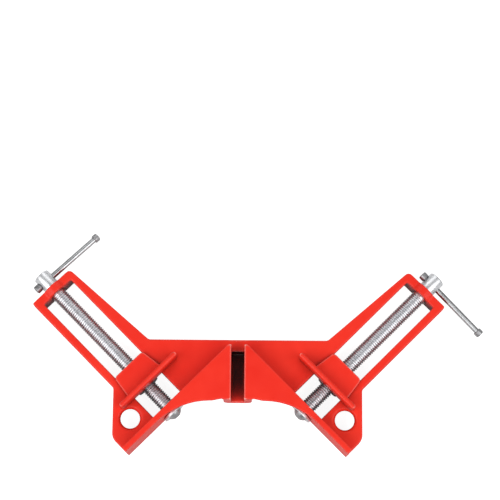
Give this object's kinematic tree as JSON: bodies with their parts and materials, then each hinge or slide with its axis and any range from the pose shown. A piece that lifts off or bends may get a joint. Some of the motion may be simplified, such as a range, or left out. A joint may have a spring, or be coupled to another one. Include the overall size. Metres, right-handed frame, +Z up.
{
  "type": "corner clamp",
  "caption": "Right-angle corner clamp: a red cast body with two fences and windowed arms, each with a jaw that a screw with a sliding tommy bar draws along the arm.",
  "frame": {"origin": "the corner where the two fence faces meet, on the plane that the clamp stands on", "axes": "+X along the right arm away from its fence, +Y along the left arm away from its fence, +Z up"},
  "size_m": [0.2241, 0.23, 0.028],
  "materials": {
    "red_paint": "gloss paint on a casting",
    "plated_steel": "bright zinc plate",
    "fastener_steel": "bright zinc plate"
  },
  "bodies": {
    "frame": {"body_casting": "red_paint"},
    "right_spindle": {"right_screw": "plated_steel", "right_washer": "plated_steel", "right_retaining_screw": "fastener_steel"},
    "left_spindle": {"left_screw": "plated_steel", "left_washer": "plated_steel", "left_retaining_screw": "fastener_steel"},
    "right_slider": {"right_jaw": "red_paint"},
    "left_slider": {"left_jaw": "red_paint"},
    "right_handle": {"right_bar": "plated_steel", "right_bar_outer_cap": "fastener_steel", "right_bar_inner_cap": "fastener_steel"},
    "left_handle": {"left_bar": "plated_steel", "left_bar_outer_cap": "fastener_steel", "left_bar_inner_cap": "fastener_steel"}
  },
  "joints": [
    {"name": "right_screw_turn", "type": "hinge", "parent": "frame", "child": "right_spindle", "pos_m": [0.058, -0.063, 0.0095], "axis": [1, 0, 0], "range_deg": [-16080, 4176]},
    {"name": "left_screw_turn", "type": "hinge", "parent": "frame", "child": "left_spindle", "pos_m": [-0.063, 0.058, 0.0095], "axis": [0, 1, 0], "range_deg": [-16080, 4176]},
    {"name": "right_jaw_slide", "type": "slide", "parent": "frame", "child": "right_slider", "axis": [1, 0, 0], "range_m": [-0.0175, 0.0671]},
    {"name": "left_jaw_slide", "type": "slide", "parent": "frame", "child": "left_slider", "axis": [0, 1, 0], "range_m": [-0.0175, 0.0671]},
    {"name": "right_bar_slide", "type": "slide", "parent": "right_spindle", "child": "right_handle", "axis": [0, -0.9907, -0.1363], "range_m": [-0.0367, 0]},
    {"name": "left_bar_slide", "type": "slide", "parent": "left_spindle", "child": "left_handle", "axis": [0.9907, 0, -0.1363], "range_m": [-0.0367, 0]}
  ],
  "couplings": [
    {"joint": "right_jaw_slide", "follows": "right_screw_turn", "m_per_rad": -0.00023873},
    {"joint": "left_jaw_slide", "follows": "left_screw_turn", "m_per_rad": -0.00023873}
  ]
}
